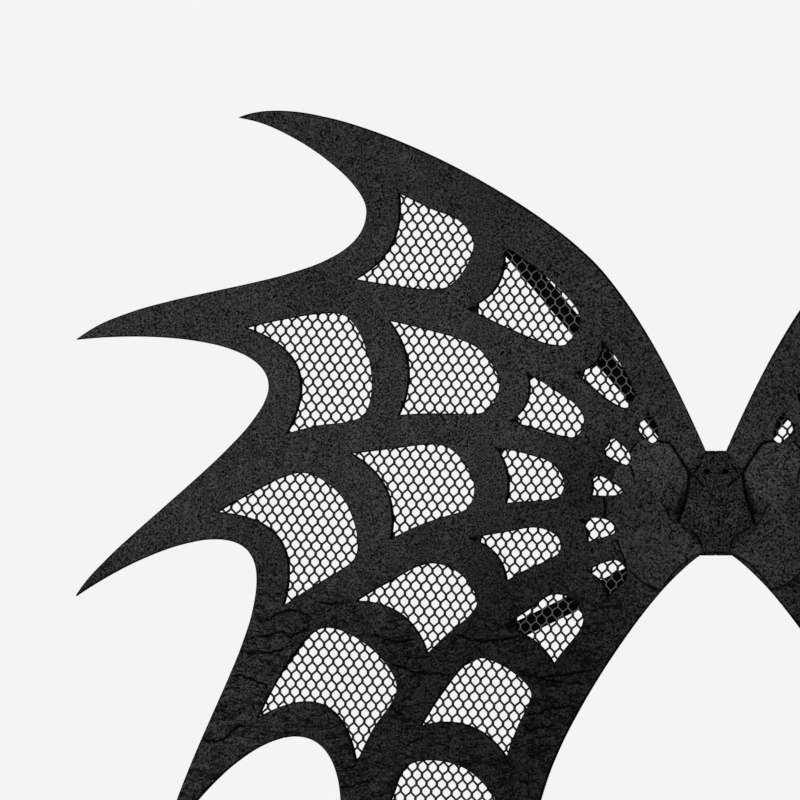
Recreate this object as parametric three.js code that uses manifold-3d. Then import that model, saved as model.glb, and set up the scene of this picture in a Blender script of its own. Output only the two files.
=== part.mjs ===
// Spider-web costume wings, worn on the back. Two die-cut felt wings meet at the spine, net shows through
// their web windows, straight ribs stiffen them from behind, and a shield-shaped panel covers the join.
// Millimetres, +Z up. The show side faces -Y and the wearer's back is on the +Y side.
import * as THREE from 'three';
import { TessellateModifier } from 'three/addons/modifiers/TessellateModifier.js';
import { mergeVertices } from 'three/addons/utils/BufferGeometryUtils.js';
import Module from 'manifold-3d';

// Thickness of each layer and the gap between layers
const RIB_THICK = 1.2;
const NET_THICK = 0.6;
const FELT_THICK = 2;
const PATCH_THICK = 1.5;
const PANEL_THICK = 2;
const LAYER_GAP = 0.4;

// Where each layer's back face lies, counted from the wearer's back towards the viewer
const RIB_BACK = 0;
const NET_BACK = RIB_BACK + RIB_THICK + LAYER_GAP;
const FELT_BACK = NET_BACK + NET_THICK + LAYER_GAP;
const PATCH_BACK = FELT_BACK + FELT_THICK + LAYER_GAP;
const PANEL_BACK = PATCH_BACK + PATCH_THICK + LAYER_GAP;

// The wings lie flat at the root and bow away from the wearer towards the tips
const SWEEP_START = 110;
const SWEEP_END = 399;
const SWEEP_DEPTH = 24;

// How finely the curves and the bowed sheets are stepped
const CURVE_SAMPLES = 160;
const MAX_TURN = THREE.MathUtils.degToRad(12);
const MAX_STEP = 24;
const MAX_FACET = 42;
const FACET_ROUNDS = 6;

// The wing's outline, from the foot of the notch at the nape round to the small of the back. A row is one
// curve: its two handles and its end, each [mm out from the spine, mm up from the origin].
const NAPE = [6.5, 30.6];
const OUTLINE = [
  { run: 'neck', pull_a: [21.25, 63.75], pull_b: [40, 105.5], end: [71.25, 143] },
  { run: 'shoulder', pull_a: [107, 184.5], pull_b: [216, 243.5], end: [275, 243] },
  { run: 'top tip', pull_a: [284, 243], pull_b: [291, 241.5], end: [298, 238.75] },
  { run: 'into scallop 1', pull_a: [269.5, 236], pull_b: [218, 200], end: [218, 180.5] },
  { run: 'out to tip 2', pull_a: [218, 129], pull_b: [354, 137.5], end: [398.75, 100.25] },
  { run: 'into scallop 2', pull_a: [347.5, 106], pull_b: [279, 100], end: [279, 71] },
  { run: 'out to tip 3', pull_a: [279, 40], pull_b: [380, -26], end: [399, -59.5] },
  { run: 'into scallop 3', pull_a: [354, -28.5], pull_b: [286.5, -4], end: [286.5, -49] },
  { run: 'out to tip 4', pull_a: [286.5, -90.5], pull_b: [325.5, -144], end: [347, -220] },
  { run: 'into scallop 4', pull_a: [302, -145], pull_b: [237, -117.5], end: [234, -189.5] },
  { run: 'out to tip 5', pull_a: [233, -235], pull_b: [248, -300], end: [245, -352] },
  { run: 'into scallop 5', pull_a: [214, -240], pull_b: [158, -195], end: [155, -285] },
  { run: 'out to tip 6', pull_a: [154, -312], pull_b: [147, -330], end: [143, -345] },
  { run: 'lower back edge', pull_a: [132, -295], pull_b: [126, -237], end: [106, -175.5] },
  { run: 'waist', pull_a: [95, -140], pull_b: [45.5, -59], end: [10, -34.5] },
];

// The web's windows: sectors A (top) to E (bottom), ring 1 outermost. A window runs from its outer upper
// tip along the top to its round inner end, back along its low side to its outer lower tail, and closes
// with an edge that bows inwards by sag. Points are [mm out, mm up].
const WINDOWS = [
  { name: 'A1', tip: [198, 192], top: [179, 182.5], shoulder: [159.5, 174], end: [151, 160],
    heel: [166, 134], low: [191, 133], tail: [225, 138], sag: 10.5 },
  { name: 'A2', tip: [132.5, 159], top: [110, 143], shoulder: [87, 120], end: [84.5, 111],
    heel: [94, 97], low: [125.5, 105.5], tail: [155, 119.5], sag: 9 },
  { name: 'A3', tip: [70.5, 100], top: [61, 88], shoulder: [52, 71], end: [50.5, 65.5],
    heel: [56, 57.5], low: [72.5, 67], tail: [88, 80], sag: 6 },
  { name: 'A4', tip: [42, 55.5], top: [39.5, 48.5], shoulder: [36.5, 41.5], end: [36, 38],
    heel: [40, 35.5], low: [45.5, 40.5], tail: [50.5, 47], sag: 1.5 },
  { name: 'B1', tip: [293, 107.5], top: [260, 114.5], shoulder: [230.5, 114.5], end: [215, 80],
    heel: [220, 53], low: [244.5, 47.5], tail: [268, 41.5], sag: 21 },
  { name: 'B2', tip: [204, 112], top: [175.5, 105], shoulder: [147.5, 94], end: [135, 72.5],
    heel: [144, 55.5], low: [172.5, 54.5], tail: [198, 53], sag: 9 },
  { name: 'B3', tip: [118, 80], top: [102, 69.5], shoulder: [87, 59], end: [82, 49.5],
    heel: [87.5, 39.5], low: [108, 44], tail: [129, 49], sag: 6.5 },
  { name: 'B4', tip: [66.5, 40.5], top: [60, 35.5], shoulder: [54, 29.5], end: [53, 26],
    heel: [55.5, 22], low: [64, 25.5], tail: [72, 30.5], sag: 2 },
  { name: 'C1', tip: [311, -7.5], top: [284, 7.5], shoulder: [257, 17], end: [232, 0],
    heel: [224.5, -34.5], low: [246, -50], tail: [270, -66], sag: 22 },
  { name: 'C2', tip: [227.5, 29], top: [197.5, 32.5], shoulder: [167.5, 33], end: [151, 11],
    heel: [154.5, -4.5], low: [177.5, -12.5], tail: [203, -24.5], sag: 10.5 },
  { name: 'C3', tip: [137.5, 33], top: [119.5, 29], shoulder: [102.5, 23], end: [94.5, 11],
    heel: [98, 2], low: [114.5, 0], tail: [131, -2], sag: 4.5 },
  { name: 'C4', tip: [79, 17.5], top: [70, 14], shoulder: [62, 9.5], end: [58, 5.5],
    heel: [62, 3], low: [69.5, 3], tail: [77.5, 3], sag: 1.5 },
  { name: 'D1', tip: [286, -136], top: [269.5, -105.5], shoulder: [246, -80], end: [216, -92],
    heel: [199, -117.5], low: [211, -137.5], tail: [224.5, -165.5], sag: 25 },
  { name: 'D2', tip: [224.5, -63], top: [202, -50], shoulder: [177.5, -39.5], end: [158, -47.5],
    heel: [149, -65], low: [164.5, -80.5], tail: [180, -96], sag: 10 },
  { name: 'D3', tip: [154, -24], top: [132, -20], shoulder: [109.5, -17.5], end: [98, -24],
    heel: [97.5, -32.5], low: [114.5, -41], tail: [130.5, -50.5], sag: 6 },
  { name: 'D4', tip: [84.5, -12], top: [75, -12.5], shoulder: [66, -13], end: [63, -17],
    heel: [63, -20.5], low: [71, -23], tail: [80, -26], sag: 1.5 },
  { name: 'E1', tip: [219.5, -231], top: [203, -187.5], shoulder: [191, -165], end: [157, -167.5],
    heel: [133, -197], low: [138, -219], tail: [147.5, -245.5], sag: 24 },
  { name: 'E2', tip: [184, -141], top: [167.5, -116], shoulder: [150, -99], end: [130, -105.5],
    heel: [115, -121], low: [123, -139.5], tail: [130.5, -161], sag: 10.5 },
  { name: 'E3', tip: [134, -79.5], top: [117.5, -69], shoulder: [102, -59], end: [89, -62.5],
    heel: [82.5, -75.5], low: [92.5, -90], tail: [101, -102.5], sag: 5 },
  { name: 'E4', tip: [80.5, -44.5], top: [72, -40.5], shoulder: [62.5, -37.5], end: [57.5, -41],
    heel: [55, -47.5], low: [61, -54.5], tail: [67, -60.5], sag: 2.5 },
];
const SECTORS = ['A', 'B', 'C', 'D', 'E'];
const RINGS = [1, 2, 3, 4];

// The net reaches this far past the windows, measured along and across lines from the web's hub
const HUB = [20, 0];
const NET_MARGIN = 9;

// The stiffening ribs: straight strips glued behind the net
const RIBS = [
  { name: 'upper_rib', from: [15, 23], to: [154, 187.5], width: 11 },
  { name: 'lower_rib', from: [16, -28.5], to: [185, -111.5], width: 10.8 },
];

// The root patch: a round-edged reinforcement on the show side of each wing
const PATCH_CENTRE = [10, -5];
const PATCH_RADIUS = 58.5;
const PATCH_TOP = [[46, 39], [37.5, 37], [28.75, 35], [16.25, 18], [3, 16]];
const PATCH_FOOT = [[3, -31], [11.5, -34], [34, -56]];

// The centre panel, half of its outline from the middle of its top edge to the middle of its bottom edge
const PANEL_HALF = [[6.2, 30.1], [16.25, 18], [18, 6.25], [20.5, -3], [22.75, -13], [22, -15.5],
  [8.75, -28], [8.75, -33]];
const PANEL_HOLE = { out: 5.7, up: 17.8, width: 4.5, height: 3 };
const HOLE_SIDES = 14;

const FINISHES = {
  felt: new THREE.MeshStandardMaterial({ color: 0x2c2c2c, roughness: 0.95, metalness: 0 }),
  patch: new THREE.MeshStandardMaterial({ color: 0x292929, roughness: 0.95, metalness: 0 }),
  panel: new THREE.MeshStandardMaterial({ color: 0x222222, roughness: 0.9, metalness: 0 }),
  net: new THREE.MeshStandardMaterial({ color: 0x0d0d0d, roughness: 0.7, metalness: 0 }),
  rib: new THREE.MeshStandardMaterial({ color: 0x0b0b0b, roughness: 0.5, metalness: 0 }),
};

const wasm = await Module();
wasm.setup();

const flat = ([out, up]) => new THREE.Vector2(out, up);

// The points of a curve that its bends and its length call for, without the first one
function stepped(curve) {
  const fine = curve.getPoints(CURVE_SAMPLES);
  const kept = [];
  let last = fine[0];
  let heading = null;
  fine.slice(1, -1).forEach((point, i) => {
    const ahead = fine[i + 2].clone().sub(point).angle();
    heading ??= point.clone().sub(last).angle();
    const turn = Math.abs(Math.atan2(Math.sin(ahead - heading), Math.cos(ahead - heading)));
    if (turn > MAX_TURN || point.distanceTo(last) > MAX_STEP) {
      kept.push(point);
      last = point;
      heading = ahead;
    }
  });
  return [...kept, fine.at(-1)];
}

function wingOutline() {
  const points = [new THREE.Vector2(LAYER_GAP / 2, NAPE[1]), flat(NAPE)];
  for (const { pull_a, pull_b, end } of OUTLINE) {
    const curve = new THREE.CubicBezierCurve(points.at(-1), flat(pull_a), flat(pull_b), flat(end));
    points.push(...stepped(curve));
  }
  points.push(new THREE.Vector2(LAYER_GAP / 2, points.at(-1).y));
  return points;
}

// The middle of a window's inward-bowed outer edge, and the handle that bows it
function bowedEdge({ tip, tail, sag }) {
  const middle = flat(tip).add(flat(tail)).multiplyScalar(0.5);
  const along = flat(tip).sub(flat(tail)).normalize();
  const inward = new THREE.Vector2(-along.y, along.x);
  return {
    middle: middle.clone().addScaledVector(inward, sag),
    handle: middle.clone().addScaledVector(inward, 2 * sag),
  };
}

function windowOutline(row) {
  const { tip, top, shoulder, end, heel, low, tail } = row;
  const way = [tip, top, shoulder, end, heel, low, tail].map(([out, up]) => new THREE.Vector3(out, up, 0));
  const round = new THREE.CatmullRomCurve3(way, false, 'centripetal');
  const level = new THREE.Curve();
  level.getPoint = (t) => {
    const { x, y } = round.getPoint(t);
    return new THREE.Vector2(x, y);
  };
  const outer = new THREE.QuadraticBezierCurve(flat(tail), bowedEdge(row).handle, flat(tip));
  return [...stepped(level), ...stepped(outer)];
}

const windowNamed = (name) => WINDOWS.find((row) => row.name === name);

// A point moved along the line from the hub, and across that line towards the shoulder
function shifted(point, along, across) {
  const ray = point.clone().sub(flat(HUB)).normalize();
  const turned = new THREE.Vector2(-ray.y, ray.x);
  return point.clone().addScaledVector(ray, along).addScaledVector(turned, across);
}

// The net's outline: up the shoulder, round the outer edges of ring 1, back up the waist, along the root
function netOutline() {
  const outwards = [...RINGS].reverse();
  const upwards = [...SECTORS].reverse();
  const first = windowNamed('A1');
  const last = windowNamed('E1');
  const shoulder = outwards.map((ring) => shifted(flat(windowNamed(`A${ring}`).top), 0, NET_MARGIN));
  const rim = SECTORS.flatMap((sector) => {
    const row = windowNamed(`${sector}1`);
    return [flat(row.tip), bowedEdge(row).middle, flat(row.tail)].map((p) => shifted(p, NET_MARGIN, 0));
  });
  const waist = RINGS.map((ring) => shifted(flat(windowNamed(`E${ring}`).low), 0, -NET_MARGIN));
  const root = upwards.map((sector) => shifted(flat(windowNamed(`${sector}4`).end), -NET_MARGIN, 0));
  return [
    ...shoulder,
    shifted(flat(first.tip), 0, NET_MARGIN),
    ...rim,
    shifted(flat(last.tail), 0, -NET_MARGIN),
    ...waist,
    ...root,
  ];
}

function ribOutline({ from, to, width }) {
  const along = flat(to).sub(flat(from)).normalize();
  const side = new THREE.Vector2(-along.y, along.x).multiplyScalar(width / 2);
  return [flat(from).sub(side), flat(to).sub(side), flat(to).add(side), flat(from).add(side)];
}

function patchOutline() {
  const around = (point) => flat(point).sub(flat(PATCH_CENTRE)).angle();
  const arc = new THREE.EllipseCurve(...PATCH_CENTRE, PATCH_RADIUS, PATCH_RADIUS,
    around(PATCH_FOOT.at(-1)) - 2 * Math.PI, around(PATCH_TOP[0]), false, 0);
  return [...PATCH_TOP.map(flat), ...PATCH_FOOT.map(flat), ...stepped(arc).slice(0, -1)];
}

function panelOutline() {
  const right = PANEL_HALF.map(flat);
  const left = PANEL_HALF.map(([out, up]) => flat([-out, up]));
  return [...right, ...left.reverse()];
}

const panelHole = (sign) => new THREE.EllipseCurve(sign * PANEL_HOLE.out, PANEL_HOLE.up,
  PANEL_HOLE.width / 2, PANEL_HOLE.height / 2).getPoints(HOLE_SIDES).slice(0, -1);

// A sheet cut to an outline with holes, standing upright with its back at the given distance
function sheet(outline, holes, thick, back) {
  const shape = new THREE.Shape(outline);
  shape.holes = holes.map((points) => new THREE.Path(points));
  const geometry = new THREE.ExtrudeGeometry(shape, { depth: thick, bevelEnabled: false });
  geometry.deleteAttribute('normal');
  geometry.deleteAttribute('uv');
  geometry.clearGroups();
  return geometry.rotateX(Math.PI / 2).translate(0, -back, 0);
}

// The same sheet in short facets, bowed away from the wearer
function bowed(geometry) {
  const fine = mergeVertices(new TessellateModifier(MAX_FACET, FACET_ROUNDS).modify(geometry));
  const place = fine.attributes.position;
  for (let i = 0; i < place.count; i += 1) {
    const reach = Math.max(0, Math.abs(place.getX(i)) - SWEEP_START) / (SWEEP_END - SWEEP_START);
    place.setY(i, place.getY(i) - SWEEP_DEPTH * reach ** 2);
  }
  return fine;
}

function solidOf(geometry) {
  const merged = mergeVertices(geometry);
  return new wasm.Manifold(new wasm.Mesh({
    numProp: 3,
    vertProperties: new Float32Array(merged.attributes.position.array),
    triVerts: new Uint32Array(merged.index.array),
  }));
}

function geometryOf(solid) {
  const { vertProperties, triVerts } = solid.getMesh();
  const geometry = new THREE.BufferGeometry();
  geometry.setAttribute('position', new THREE.BufferAttribute(vertProperties, 3));
  geometry.setIndex(new THREE.BufferAttribute(triVerts, 1));
  return geometry;
}

// The root patch, with the web's innermost windows cut through it
function patchGeometry() {
  const body = solidOf(sheet(patchOutline(), [], PATCH_THICK, PATCH_BACK));
  const through = PATCH_THICK + 2 * LAYER_GAP;
  const cutters = WINDOWS.filter(({ name }) => name.endsWith('4')).map((row) => (
    solidOf(sheet(windowOutline(row), [], through, PATCH_BACK - LAYER_GAP))
  ));
  return geometryOf(cutters.reduce((solid, cutter) => solid.subtract(cutter), body));
}

// The same geometry on the other side of the spine, its faces turned to point outwards again
function mirrored(geometry) {
  const copy = geometry.clone().scale(-1, 1, 1);
  const corners = copy.index.array;
  for (let i = 0; i < corners.length; i += 3) {
    [corners[i], corners[i + 1]] = [corners[i + 1], corners[i]];
  }
  return copy;
}

function piece(name, geometry, finish) {
  geometry.computeVertexNormals();
  const mesh = new THREE.Mesh(geometry, finish);
  mesh.name = name;
  return mesh;
}

// Everything on the right-hand side, piece by piece
function wingPieces() {
  const felt = sheet(wingOutline(), WINDOWS.map(windowOutline), FELT_THICK, FELT_BACK);
  const net = sheet(netOutline(), [], NET_THICK, NET_BACK);
  const ribs = RIBS.map((rib) => {
    const strip = sheet(ribOutline(rib), [], RIB_THICK, RIB_BACK);
    return { name: rib.name, geometry: bowed(strip), finish: FINISHES.rib };
  });
  return [
    { name: 'wing', geometry: bowed(felt), finish: FINISHES.felt },
    { name: 'net', geometry: bowed(net), finish: FINISHES.net },
    ...ribs,
    { name: 'root_patch', geometry: patchGeometry(), finish: FINISHES.patch },
  ];
}

function centrePanel() {
  const holes = [-1, 1].map(panelHole);
  return piece('centre_panel', mergeVertices(sheet(panelOutline(), holes, PANEL_THICK, PANEL_BACK)),
    FINISHES.panel);
}

const leftWing = new THREE.Group();
const rightWing = new THREE.Group();
for (const { name, geometry, finish } of wingPieces()) {
  leftWing.add(piece(`left_${name}`, mirrored(geometry), finish));
  rightWing.add(piece(`right_${name}`, geometry, finish));
}

const wings = new THREE.Group();
wings.add(leftWing, rightWing, centrePanel());

export default wings;
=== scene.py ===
"""Spider-web costume wings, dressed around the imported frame.

Felt, net, ribs and the studio around them. X runs along the wings, Z is up and the show side faces -Y.
"""

from __future__ import annotations

import logging
import math
from dataclasses import dataclass, field
from enum import Enum

import bmesh
import bpy
from mathutils import Matrix, Vector, noise
from mathutils.geometry import interpolate_bezier, intersect_point_line
from mathutils.kdtree import KDTree


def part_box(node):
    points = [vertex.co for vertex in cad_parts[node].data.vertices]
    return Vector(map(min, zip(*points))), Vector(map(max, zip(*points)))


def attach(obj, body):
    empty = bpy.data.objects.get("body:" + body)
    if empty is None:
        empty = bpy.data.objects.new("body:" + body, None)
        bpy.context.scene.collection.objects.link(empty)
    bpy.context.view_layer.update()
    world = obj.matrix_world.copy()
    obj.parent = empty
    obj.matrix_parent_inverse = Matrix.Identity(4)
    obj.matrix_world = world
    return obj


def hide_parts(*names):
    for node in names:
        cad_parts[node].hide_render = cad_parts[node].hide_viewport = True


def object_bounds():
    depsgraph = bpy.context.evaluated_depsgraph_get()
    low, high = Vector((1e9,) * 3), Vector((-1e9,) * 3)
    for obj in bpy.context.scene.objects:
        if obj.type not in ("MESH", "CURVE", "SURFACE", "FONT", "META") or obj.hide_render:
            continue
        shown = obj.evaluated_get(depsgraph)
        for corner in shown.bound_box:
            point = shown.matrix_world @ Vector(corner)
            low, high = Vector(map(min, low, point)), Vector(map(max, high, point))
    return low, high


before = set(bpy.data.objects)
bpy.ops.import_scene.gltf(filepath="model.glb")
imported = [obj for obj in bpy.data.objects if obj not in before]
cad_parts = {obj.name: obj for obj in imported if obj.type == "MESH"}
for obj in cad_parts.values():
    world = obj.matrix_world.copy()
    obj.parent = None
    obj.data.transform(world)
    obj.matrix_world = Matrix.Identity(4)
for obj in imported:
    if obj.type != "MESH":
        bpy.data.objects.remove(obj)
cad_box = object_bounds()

MM = 0.001
BODY = "root"
SHOW = Vector((0, -1, 0))
LOG = logging.getLogger("wings")

Colour = tuple[float, float, float]
Spot = tuple[float, float]


class Side(Enum):
    """Which of the two wings, as the viewer sees them."""

    LEFT = -1
    RIGHT = 1

    @property
    def prefix(self) -> str:
        """The start of the names of this side's pieces."""
        return self.name.lower()


class Slot(Enum):
    """The record's material slots."""

    FELT = "felt"
    PATCH = "patch_felt"
    PANEL = "panel_felt"
    NET = "net"
    RIB = "rib"


class Hold(Enum):
    """How a sheet of cloth is held."""

    STRETCHED = "stretched"
    LAID = "laid"


# Shader trees

FIBRE_ANGLES = (25.0, 85.0, 145.0)
STRAND_SHAPE = (1.3, 1.0, 0.4)
STRAND_SHARE = 0.45
TONE_PATCHES = 45.0
WRINKLE_PACES = (1.0, 2.2)
WRINKLE_LUMPS = (48.0, 48.0, 130.0)
WRINKLE_PATCHES = 42.0
FOOT_FROM = (-20 * MM, -80 * MM)


@dataclass
class NodeSheet:
    """One node tree, with short ways to add and join its nodes."""

    tree: bpy.types.NodeTree

    def add(self, kind: str, **settings: object) -> bpy.types.Node:
        """Adds a node.

        Args:
            kind: The node's type.
            settings: Values for the node's own properties.

        Returns:
            The new node.
        """
        node = self.tree.nodes.new(kind)
        for name, value in settings.items():
            setattr(node, name, value)
        return node

    def feed(self, target: bpy.types.NodeSocket, value: object) -> None:
        """Gives an input a value, or joins it to the output that makes one.

        Args:
            target: The input.
            value: A number, a vector, a colour or another node's output.
        """
        if isinstance(value, bpy.types.NodeSocket):
            self.tree.links.new(value, target)
        else:
            target.default_value = value

    def sum(self, operation: str, first: object, second: object = 0.0) -> bpy.types.NodeSocket:
        """Works out a number.

        Args:
            operation: A Math node's operation.
            first: The first number or output.
            second: The second number or output.

        Returns:
            The output that holds the result.
        """
        node = self.add("ShaderNodeMath", operation=operation)
        self.feed(node.inputs[0], first)
        self.feed(node.inputs[1], second)
        return node.outputs[0]

    def stretch(self, place: object, by: object) -> bpy.types.NodeSocket:
        """A place with each of its axes multiplied.

        Args:
            place: The output with the coordinates.
            by: The three factors.

        Returns:
            The stretched coordinates.
        """
        node = self.add("ShaderNodeVectorMath", operation="MULTIPLY")
        self.feed(node.inputs[0], place)
        self.feed(node.inputs[1], by)
        return node.outputs[0]

    def cloud(self, place: object, scale: float, detail: float = 2.0) -> bpy.types.NodeSocket:
        """Soft noise from 0 to 1.

        Args:
            place: The output with the coordinates.
            scale: Lumps for each unit of length.
            detail: Octaves of finer noise.

        Returns:
            The noise's value.
        """
        node = self.add("ShaderNodeTexNoise", noise_dimensions="3D")
        self.feed(node.inputs["Vector"], place)
        node.inputs["Scale"].default_value = scale
        node.inputs["Detail"].default_value = detail
        return node.outputs["Fac"]

    def ramp(self, value: object, span: Spot, result: Spot = (0.0, 1.0)) -> bpy.types.NodeSocket:
        """A value's span mapped on another span, and held at its ends.

        Args:
            value: The output to map.
            span: The values that give the ends of the result.
            result: The ends of the result.

        Returns:
            The mapped value.
        """
        node = self.add("ShaderNodeMapRange", clamp=True)
        self.feed(node.inputs["Value"], value)
        for name, number in zip(("From Min", "From Max", "To Min", "To Max"), (*span, *result)):
            node.inputs[name].default_value = number
        return node.outputs["Result"]

    def blend(self, share: object, first: Colour, second: Colour) -> bpy.types.NodeSocket:
        """A colour between two colours.

        Args:
            share: How much of the second colour shows.
            first: The colour at 0.
            second: The colour at 1.

        Returns:
            The mixed colour.
        """
        node = self.add("ShaderNodeMix", data_type="RGBA")
        self.feed(node.inputs["Factor"], share)
        node.inputs["A"].default_value = (*first, 1.0)
        node.inputs["B"].default_value = (*second, 1.0)
        return next(o for o in node.outputs if o.type == "RGBA")


def shared_group(name: str, takes: dict[str, str], gives: tuple[str, ...]) -> bpy.types.NodeTree:
    """An empty shader node group with its sockets.

    Args:
        name: The group's name.
        takes: Each input's name and socket type.
        gives: The outputs' names, each a number.

    Returns:
        The group.
    """
    group = bpy.data.node_groups.new(name, "ShaderNodeTree")
    for socket, kind in takes.items():
        group.interface.new_socket(socket, in_out="INPUT", socket_type=kind)
    for socket in gives:
        group.interface.new_socket(socket, in_out="OUTPUT", socket_type="NodeSocketFloat")
    return group


def fibre_group() -> bpy.types.NodeTree:
    """Needled fibres that lie across each other among specks, over soft patches of tone.

    Returns:
        The group.
    """
    group = shared_group(
        "needled_fibres", {"Place": "NodeSocketVector", "Width": "NodeSocketFloat"}, ("Tone", "Height")
    )
    sheet = NodeSheet(group)
    takes = sheet.add("NodeGroupInput").outputs
    gives = sheet.add("NodeGroupOutput").inputs
    sized = sheet.add("ShaderNodeVectorMath", operation="SCALE")
    sheet.feed(sized.inputs[0], takes["Place"])
    sheet.feed(sized.inputs["Scale"], sheet.sum("DIVIDE", 1.0, takes["Width"]))
    lying = None
    for angle in FIBRE_ANGLES:
        turned = sheet.add("ShaderNodeVectorRotate", rotation_type="Y_AXIS")
        sheet.feed(turned.inputs["Vector"], sized.outputs[0])
        turned.inputs["Angle"].default_value = math.radians(angle)
        strand = sheet.cloud(sheet.stretch(turned.outputs[0], STRAND_SHAPE), 1.0, 1.0)
        lying = strand if lying is None else sheet.sum("MAXIMUM", lying, strand)
    speck = sheet.cloud(sized.outputs[0], 1.0, 1.0)
    strands = sheet.sum("MULTIPLY", lying, STRAND_SHARE)
    mixed = sheet.sum("ADD", strands, sheet.sum("MULTIPLY", speck, 1 - STRAND_SHARE))
    fine = sheet.ramp(mixed, (0.43, 0.67))
    patch = sheet.ramp(sheet.cloud(takes["Place"], TONE_PATCHES), (0.3, 0.7), (-0.06, 0.06))
    sheet.feed(gives["Tone"], sheet.sum("ADD", fine, patch))
    sheet.feed(gives["Height"], fine)
    return group


def wrinkle_group() -> bpy.types.NodeTree:
    """Thin wrinkles, mostly level, that come and go and grow towards the foot of the wings, with painted
    shade along each line.

    Returns:
        The group.
    """
    group = shared_group("fold_shade_wrinkles", {"Place": "NodeSocketVector"}, ("Line", "Dent"))
    sheet = NodeSheet(group)
    place = sheet.add("NodeGroupInput").outputs["Place"]
    gives = sheet.add("NodeGroupOutput").inputs
    parts = sheet.add("ShaderNodeSeparateXYZ")
    sheet.feed(parts.inputs[0], place)
    low = sheet.ramp(parts.outputs["Z"], FOOT_FROM, (0.12, 1.0))
    lines = 0.0
    dents = 0.0
    for pace in WRINKLE_PACES:
        level = sheet.stretch(place, tuple(lumps * pace for lumps in WRINKLE_LUMPS))
        off_line = sheet.sum("ABSOLUTE", sheet.sum("SUBTRACT", sheet.cloud(level, 1.0, 4.0), 0.5))
        patches = sheet.ramp(sheet.cloud(place, WRINKLE_PATCHES * pace), (0.39, 0.52))
        here = sheet.sum("MULTIPLY", patches, low)
        # Painted shade: the colour is darkened along each wrinkle line.
        line = sheet.sum("MULTIPLY", sheet.ramp(off_line, (0.006, 0.046), (1.0, 0.0)), here)
        dent = sheet.sum("MULTIPLY", sheet.ramp(off_line, (0.0, 0.12), (1.0, 0.0)), here)
        lines = sheet.sum("MAXIMUM", lines, line)
        dents = sheet.sum("MAXIMUM", dents, dent)
    sheet.feed(gives["Line"], lines)
    sheet.feed(gives["Dent"], dents)
    return group


# Finishes


def fresh_material(name: str) -> tuple[bpy.types.Material, NodeSheet, bpy.types.Node]:
    """A node material with only a Principled shader.

    Args:
        name: The material's name.

    Returns:
        The material, its tree and its shader.
    """
    material = bpy.data.materials.new(name)
    material.use_nodes = True
    sheet = NodeSheet(material.node_tree)
    return material, sheet, material.node_tree.nodes["Principled BSDF"]


def add_bump(sheet: NodeSheet, depth: float, strength: float, height: object) -> bpy.types.Node:
    """Adds a bump to a material.

    Args:
        sheet: The material's tree.
        depth: The height of the relief.
        strength: How much of it shows.
        height: The output with the relief, from 0 to 1.

    Returns:
        The bump's node.
    """
    bump = sheet.add("ShaderNodeBump")
    bump.inputs["Distance"].default_value = depth
    bump.inputs["Strength"].default_value = strength
    sheet.feed(bump.inputs["Height"], height)
    return bump


@dataclass(frozen=True)
class FeltFinish:
    """Needled black felt, with how much of its tone the painted shade of a fold, of a wrinkle and of the
    shade spots takes away.
    """

    name: str
    deep: Colour
    pale: Colour
    fibre: float = 1.0 * MM
    nap: float = 0.16 * MM
    bare: float = 0.0
    wrinkled: float = 0.0
    wrinkle_depth: float = 0.8 * MM
    fold_dark: float = 0.97
    wrinkle_dark: float = 0.85
    spot_dark: float = 0.72
    rough: float = 0.93
    gloss: float = 0.01
    sheen: float = 0.003

    def make(self, fibres: bpy.types.NodeTree, wrinkles: bpy.types.NodeTree) -> bpy.types.Material:
        """Builds the material.

        Args:
            fibres: The node group of needled fibres.
            wrinkles: The node group of pressed wrinkles.

        Returns:
            The material.
        """
        material, sheet, shader = fresh_material(self.name)
        place = sheet.add("ShaderNodeTexCoord").outputs["Object"]
        nap = sheet.add("ShaderNodeGroup", node_tree=fibres)
        sheet.feed(nap.inputs["Place"], place)
        nap.inputs["Width"].default_value = self.fibre
        lines = sheet.add("ShaderNodeGroup", node_tree=wrinkles)
        sheet.feed(lines.inputs["Place"], place)
        # Painted shade: the fold attribute darkens the colour in creases, along the cut rims and on the cut
        # walls.
        fold = sheet.add("ShaderNodeAttribute", attribute_name="fold_shade").outputs["Fac"]
        # Painted shade along the wrinkle lines.
        line = sheet.sum("MULTIPLY", lines.outputs["Line"], self.wrinkled)
        # Painted shade: spots where the felt's colour is darkened.
        dark = sheet.add("ShaderNodeAttribute", attribute_name="rubbed").outputs["Fac"]
        held = sheet.sum("MINIMUM", fold, 1.0)
        open_fold = sheet.sum("SUBTRACT", 1.0, sheet.sum("MULTIPLY", held, self.fold_dark))
        open_line = sheet.sum("SUBTRACT", 1.0, sheet.sum("MULTIPLY", line, self.wrinkle_dark))
        spot_kept = sheet.sum("SUBTRACT", 1.0, sheet.sum("MULTIPLY", dark, self.spot_dark))
        kept = sheet.sum("MULTIPLY", sheet.sum("MULTIPLY", open_fold, open_line), spot_kept)
        tone = sheet.sum("MULTIPLY", sheet.ramp(nap.outputs["Tone"], (self.bare, 1.0)), kept)
        sheet.feed(shader.inputs["Base Color"], sheet.blend(tone, self.deep, self.pale))
        dent = sheet.sum("MULTIPLY", lines.outputs["Dent"], self.wrinkled)
        crumple = add_bump(sheet, self.wrinkle_depth, 1.0, dent)
        crumple.invert = True
        bump = add_bump(sheet, self.nap, 0.8, nap.outputs["Height"])
        sheet.feed(bump.inputs["Normal"], crumple.outputs["Normal"])
        sheet.feed(shader.inputs["Normal"], bump.outputs["Normal"])
        shader.inputs["Roughness"].default_value = self.rough
        shader.inputs["Specular IOR Level"].default_value = self.gloss
        shader.inputs["Sheen Weight"].default_value = self.sheen
        return material


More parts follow.
